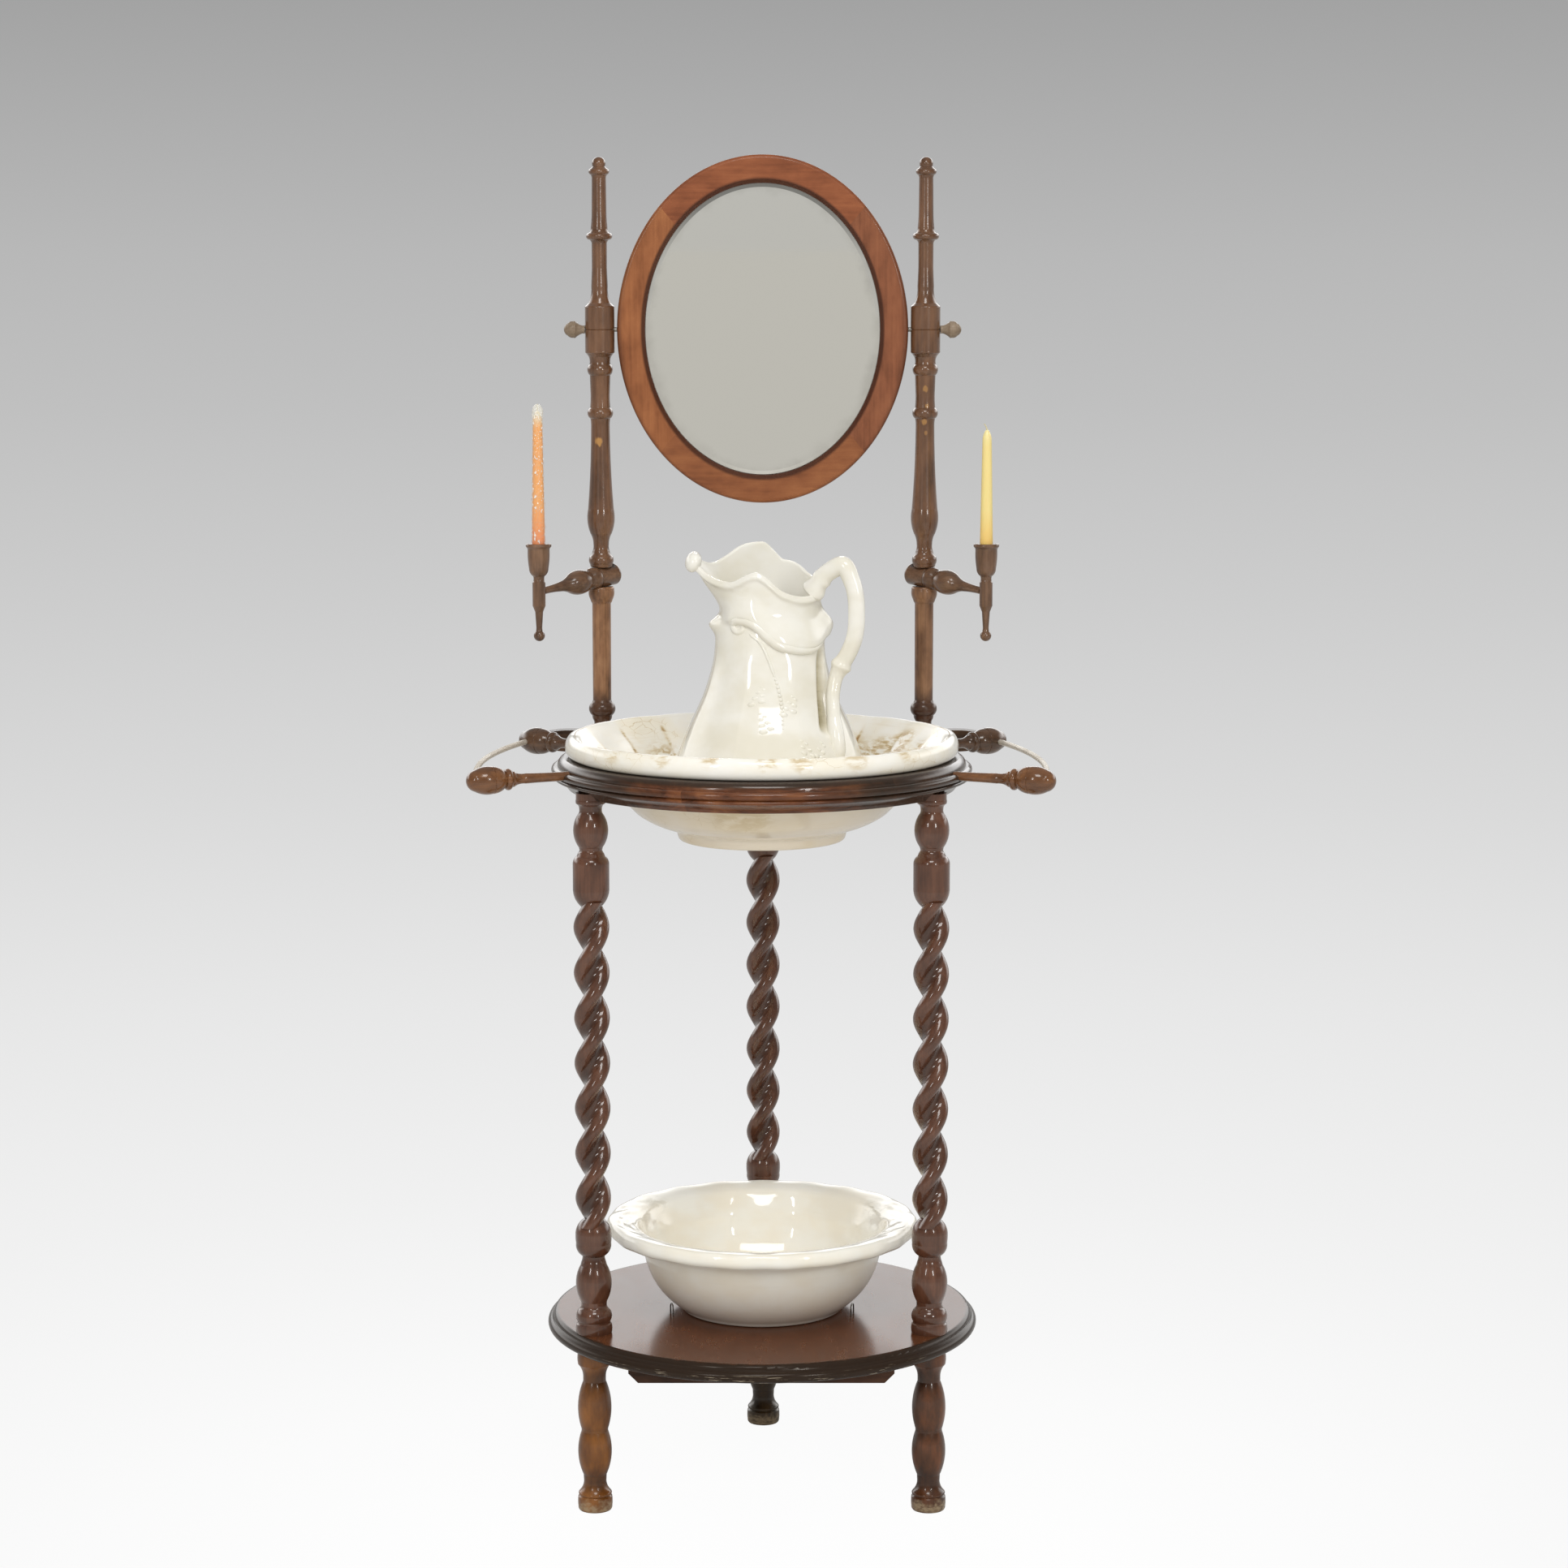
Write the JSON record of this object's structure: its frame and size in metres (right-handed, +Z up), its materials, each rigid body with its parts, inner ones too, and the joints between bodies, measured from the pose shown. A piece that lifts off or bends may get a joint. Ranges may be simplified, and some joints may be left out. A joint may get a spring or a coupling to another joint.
{
  "type": "washstand",
  "caption": "Round three-legged wooden washstand with barley-twist columns, tilting oval mirror, swivelling candle arms, towel rails, hung basin, jug and lower bowl.",
  "frame": {"origin": "on the floor, on the axis that the basin, the shelf and the circle of legs share", "axes": "+Z up, +Y to the back where the mirror stands, +X to the right seen from the front"},
  "size_m": [0.7152, 0.5582, 1.679],
  "materials": {
    "dark_wood": "dark reddish brown stain under worn shellac",
    "foot_wood": "warm brown stain, worn to bare wood at the floor",
    "shelf_wood": "brown stain under glossy shellac",
    "arm_wood": "near-black stain under shellac",
    "post_wood": "grey-brown stain under thin shellac",
    "mirror_wood": "warm red-brown stain under polish",
    "mirror_glass": "silvered bevelled plate",
    "back_board": "bare board",
    "steel": "plain aged steel",
    "rod_metal": "dull aged metal",
    "brass": "plain turned brass",
    "left_wax": "orange wax",
    "right_wax": "pale yellow wax",
    "wick": "plain cotton cord",
    "basin_glaze": "crackled cream glaze with brown stains",
    "jug_glaze": "glossy cream glaze",
    "bowl_glaze": "glossy off-white glaze"
  },
  "bodies": {
    "stand": {"foot_front_left": "foot_wood", "foot_front_right": "foot_wood", "foot_back": "foot_wood", "lower_shelf": "shelf_wood", "shelf_cleat_front": "shelf_wood", "shelf_cleat_back": "shelf_wood", "cleat_screws": "steel", "bowl_keepers": "steel", "twist_column_front_left": "dark_wood", "twist_column_front_right": "dark_wood", "twist_column_back": "dark_wood", "basin_ring": "dark_wood", "back_rail": "post_wood", "rail_screws": "steel", "towel_arm_front_left": "arm_wood", "towel_arm_front_right": "arm_wood", "towel_arm_back_left": "arm_wood", "towel_arm_back_right": "arm_wood", "towel_rod_left": "rod_metal", "towel_rod_right": "rod_metal", "lower_post_left": "post_wood", "lower_post_right": "post_wood", "upper_post_left": "post_wood", "upper_post_right": "post_wood"},
    "mirror": {"mirror_frame_top": "mirror_wood", "mirror_frame_left": "mirror_wood", "mirror_frame_right": "mirror_wood", "mirror_frame_bottom": "mirror_wood", "mirror_glass": "mirror_glass", "mirror_back": "back_board", "mirror_back_pins": "steel", "pivot_inserts": "brass"},
    "basin": {"basin": "basin_glaze"},
    "jug": {"jug": "jug_glaze"},
    "bowl": {"lower_bowl": "bowl_glaze"},
    "knob_left": {"pivot_knob_left": "post_wood", "pivot_screw_left": "steel"},
    "arm_left": {"candle_arm_left": "post_wood", "candle_cup_left": "post_wood"},
    "candle_left": {"candle_left": "left_wax", "candle_wick_left": "wick"},
    "knob_right": {"pivot_knob_right": "post_wood", "pivot_screw_right": "steel"},
    "arm_right": {"candle_arm_right": "post_wood", "candle_cup_right": "post_wood"},
    "candle_right": {"candle_right": "right_wax", "candle_wick_right": "wick"}
  },
  "joints": [
    {"name": "mirror_tilt", "type": "hinge", "parent": "stand", "child": "mirror", "pos_m": [0, 0.261, 1.455], "axis": [1, 0, 0], "continuous": true},
    {"name": "basin_lift", "type": "slide", "parent": "stand", "child": "basin", "axis": [0, -0.5, 0.866], "range_m": [0, 0.25]},
    {"name": "jug_lift", "type": "slide", "parent": "basin", "child": "jug", "axis": [0, -0.5, 0.866], "range_m": [0, 0.25]},
    {"name": "bowl_lift", "type": "slide", "parent": "stand", "child": "bowl", "axis": [0, 0, 1], "range_m": [0, 0.08]},
    {"name": "knob_turn_left", "type": "hinge", "parent": "stand", "child": "knob_left", "pos_m": [-0.24, 0.261, 1.455], "axis": [1, 0, 0], "continuous": true},
    {"name": "candle_arm_swing_left", "type": "hinge", "parent": "stand", "child": "arm_left", "pos_m": [-0.211, 0.261, 1.134], "axis": [0, 0, 1], "range_deg": [-134, 46]},
    {"name": "candle_lift_left", "type": "slide", "parent": "arm_left", "child": "candle_left", "axis": [0, 0, 1], "range_m": [0, 0.06]},
    {"name": "knob_turn_right", "type": "hinge", "parent": "stand", "child": "knob_right", "pos_m": [0.24, 0.261, 1.455], "axis": [1, 0, 0], "continuous": true},
    {"name": "candle_arm_swing_right", "type": "hinge", "parent": "stand", "child": "arm_right", "pos_m": [0.211, 0.261, 1.134], "axis": [0, 0, 1], "range_deg": [-46, 134]},
    {"name": "candle_lift_right", "type": "slide", "parent": "arm_right", "child": "candle_right", "axis": [0, 0, 1], "range_m": [0, 0.06]}
  ]
}
